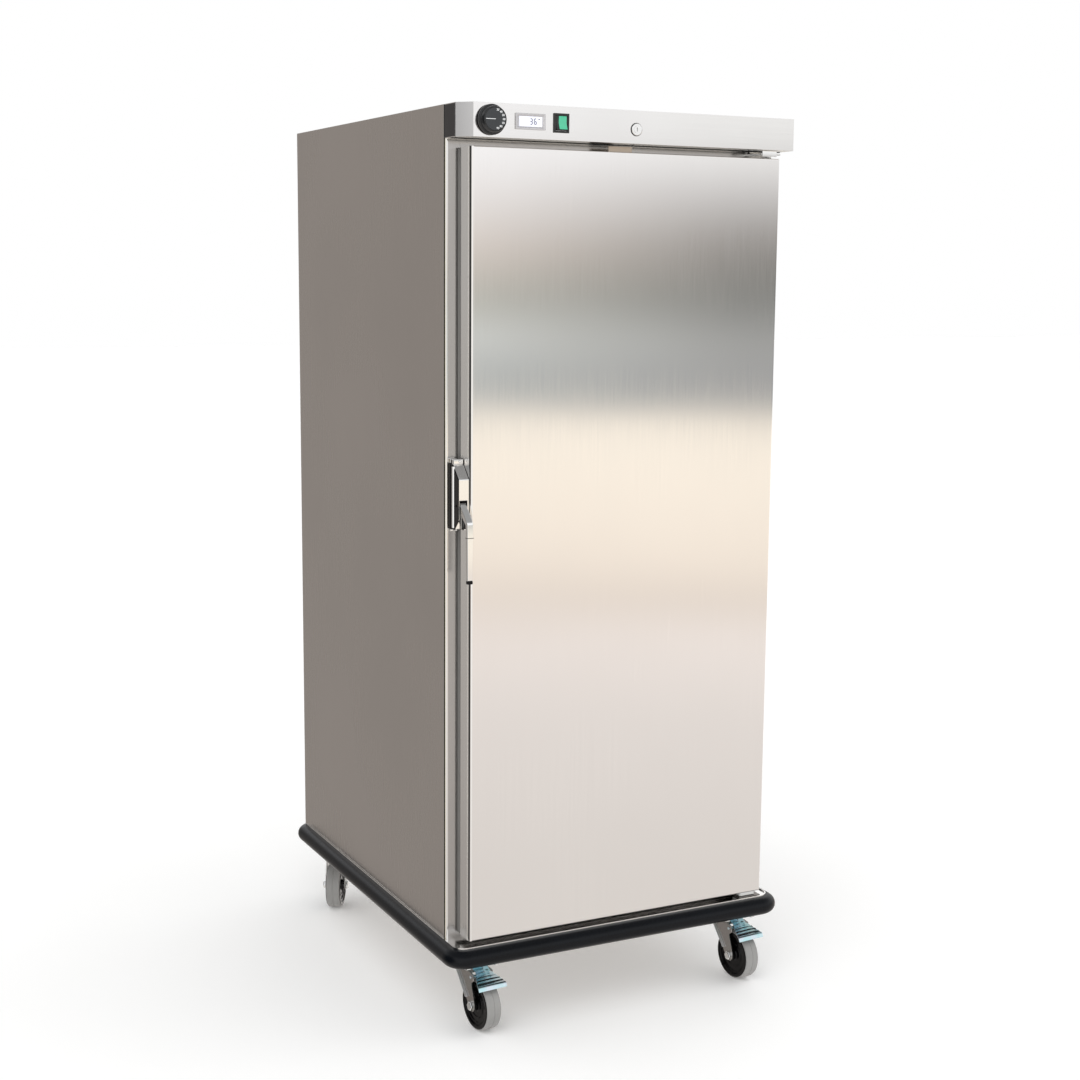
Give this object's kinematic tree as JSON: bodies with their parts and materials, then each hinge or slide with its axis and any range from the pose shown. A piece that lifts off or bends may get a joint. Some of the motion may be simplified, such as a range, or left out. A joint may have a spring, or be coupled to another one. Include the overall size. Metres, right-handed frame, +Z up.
{
  "type": "proofing cabinet",
  "caption": "Tall single-door stainless proofing cabinet on castors, with a control fascia, edge latch, tray ledges, water pan and rubber bumper.",
  "frame": {"origin": "on the floor under the middle of the outer box", "axes": "+X towards the hinge side, +Y towards the back, +Z up"},
  "size_m": [0.7512, 0.92, 1.746],
  "materials": {
    "outer_stainless": "fine satin-brushed stainless sheet, vertical grain",
    "door_stainless": "polished satin stainless sheet with soft reflections",
    "inner_stainless": "plain mill-finish stainless sheet",
    "base_stainless": "folded stainless sheet",
    "bumper_rubber": "satin black moulded rubber",
    "gasket_rubber": "grey extruded silicone seal",
    "foam": "rigid foam",
    "mineral_wool": "mineral wool",
    "chrome_casting": "polished chrome-plated die casting",
    "pin_steel": "ground steel",
    "black_plastic": "black moulded plastic with fine grain",
    "dial_plastic": "dark grey moulded knob, white printed figures",
    "bezel_plastic": "silver-grey moulded frame",
    "display_glass": "pale liquid-crystal pane",
    "green_rocker": "translucent green moulding",
    "nylon": "white nylon",
    "zinc_plate": "bright blue-passivated zinc plate on pressed steel",
    "hub_plastic": "glossy black moulded wheel centre",
    "tyre_rubber": "grey non-marking rubber tread",
    "element_sheath": "heat-tinted sheath",
    "fan_metal": "pressed aluminium",
    "wire_chrome": "plated steel"
  },
  "bodies": {
    "cabinet": {"base_frame": "base_stainless", "bumper": "bumper_rubber", "left_side_panel": "outer_stainless", "right_side_panel": "outer_stainless", "back_panel": "outer_stainless", "top_panel": "outer_stainless", "front_frame": "outer_stainless", "inner_liner": "inner_stainless", "insulation": "mineral_wool", "power_inlet": "black_plastic", "fascia": "outer_stainless", "thermostat_body": "bezel_plastic", "display_housing": "bezel_plastic", "display_window": "display_glass", "switch_housing": "black_plastic", "lock_barrel": "chrome_casting", "hinge_brackets": "chrome_casting", "hinge_pins": "pin_steel", "latch_strike": "black_plastic", "rack_posts": "inner_stainless", "tray_ledges": "inner_stainless", "heater_element": "element_sheath", "water_pan": "inner_stainless", "fan_motor": "black_plastic", "fan_guard": "wire_chrome", "temperature_bulb": "wire_chrome", "castor_plates": "zinc_plate", "castor_bolts": "zinc_plate"},
    "door": {"door_outer_skin": "door_stainless", "door_core": "foam", "door_inner_panel": "inner_stainless", "door_gasket": "gasket_rubber", "hinge_bushes": "nylon", "lock_keeper": "base_stainless", "latch_case": "chrome_casting", "latch_pin": "pin_steel"},
    "latch_lever": {"latch_lever": "chrome_casting"},
    "thermostat_knob": {"thermostat_knob": "dial_plastic"},
    "power_switch": {"switch_rocker": "green_rocker"},
    "lock_core": {"lock_plug": "chrome_casting", "lock_cam": "pin_steel"},
    "fan": {"fan_blade": "fan_metal"},
    "front_left_swivel": {"front_left_castor_fork": "zinc_plate", "front_left_castor_axle": "zinc_plate"},
    "front_left_wheel": {"front_left_castor_hub": "hub_plastic", "front_left_castor_tyre": "tyre_rubber"},
    "front_left_brake": {"front_left_castor_brake_pedal": "zinc_plate"},
    "front_right_swivel": {"front_right_castor_fork": "zinc_plate", "front_right_castor_axle": "zinc_plate"},
    "front_right_wheel": {"front_right_castor_hub": "hub_plastic", "front_right_castor_tyre": "tyre_rubber"},
    "front_right_brake": {"front_right_castor_brake_pedal": "zinc_plate"},
    "rear_left_swivel": {"rear_left_castor_fork": "zinc_plate", "rear_left_castor_axle": "zinc_plate"},
    "rear_left_wheel": {"rear_left_castor_hub": "hub_plastic", "rear_left_castor_tyre": "tyre_rubber"},
    "rear_right_swivel": {"rear_right_castor_fork": "zinc_plate", "rear_right_castor_axle": "zinc_plate"},
    "rear_right_wheel": {"rear_right_castor_hub": "hub_plastic", "rear_right_castor_tyre": "tyre_rubber"}
  },
  "joints": [
    {"name": "door_hinge", "type": "hinge", "parent": "cabinet", "child": "door", "pos_m": [0.314, -0.406, 0.9], "axis": [0, 0, 1], "range_deg": [0, 180]},
    {"name": "latch_lever_pivot", "type": "hinge", "parent": "door", "child": "latch_lever", "pos_m": [-0.337, -0.41, 1.024], "axis": [-1, 0, 0], "range_deg": [0, 35]},
    {"name": "thermostat_turn", "type": "hinge", "parent": "cabinet", "child": "thermostat_knob", "pos_m": [-0.295, -0.44, 1.716], "axis": [0, 1, 0], "range_deg": [0, 270]},
    {"name": "power_rocker", "type": "hinge", "parent": "cabinet", "child": "power_switch", "pos_m": [-0.1544, -0.439, 1.716], "axis": [1, 0, 0], "range_deg": [0, 18]},
    {"name": "lock_turn", "type": "hinge", "parent": "cabinet", "child": "lock_core", "pos_m": [0.0026, -0.44, 1.7114], "axis": [0, -1, 0], "range_deg": [0, 90]},
    {"name": "fan_spin", "type": "hinge", "parent": "cabinet", "child": "fan", "pos_m": [0, 0.333, 1.466], "axis": [0, -1, 0], "continuous": true},
    {"name": "front_left_castor_swivel", "type": "hinge", "parent": "cabinet", "child": "front_left_swivel", "pos_m": [-0.294, -0.369, 0.12], "axis": [0, 0, 1], "continuous": true},
    {"name": "front_left_wheel_spin", "type": "hinge", "parent": "front_left_swivel", "child": "front_left_wheel", "pos_m": [-0.29086, -0.40486, 0.05], "axis": [0.9962, 0.0872, 0], "continuous": true},
    {"name": "front_left_brake_press", "type": "hinge", "parent": "front_left_swivel", "child": "front_left_brake", "pos_m": [-0.29112, -0.40187, 0.107], "axis": [0.9962, 0.0872, 0], "range_deg": [0, 8]},
    {"name": "front_right_castor_swivel", "type": "hinge", "parent": "cabinet", "child": "front_right_swivel", "pos_m": [0.294, -0.369, 0.12], "axis": [0, 0, 1], "continuous": true},
    {"name": "front_right_wheel_spin", "type": "hinge", "parent": "front_right_swivel", "child": "front_right_wheel", "pos_m": [0.29714, -0.40486, 0.05], "axis": [0.9962, 0.0872, 0], "continuous": true},
    {"name": "front_right_brake_press", "type": "hinge", "parent": "front_right_swivel", "child": "front_right_brake", "pos_m": [0.29688, -0.40187, 0.107], "axis": [0.9962, 0.0872, 0], "range_deg": [0, 8]},
    {"name": "rear_left_castor_swivel", "type": "hinge", "parent": "cabinet", "child": "rear_left_swivel", "pos_m": [-0.294, 0.377, 0.12], "axis": [0, 0, 1], "continuous": true},
    {"name": "rear_left_wheel_spin", "type": "hinge", "parent": "rear_left_swivel", "child": "rear_left_wheel", "pos_m": [-0.312, 0.34582, 0.05], "axis": [0.866, -0.5, 0], "continuous": true},
    {"name": "rear_right_castor_swivel", "type": "hinge", "parent": "cabinet", "child": "rear_right_swivel", "pos_m": [0.294, 0.377, 0.12], "axis": [0, 0, 1], "continuous": true},
    {"name": "rear_right_wheel_spin", "type": "hinge", "parent": "rear_right_swivel", "child": "rear_right_wheel", "pos_m": [0.28287, 0.34276, 0.05], "axis": [0.9511, -0.309, 0], "continuous": true}
  ]
}
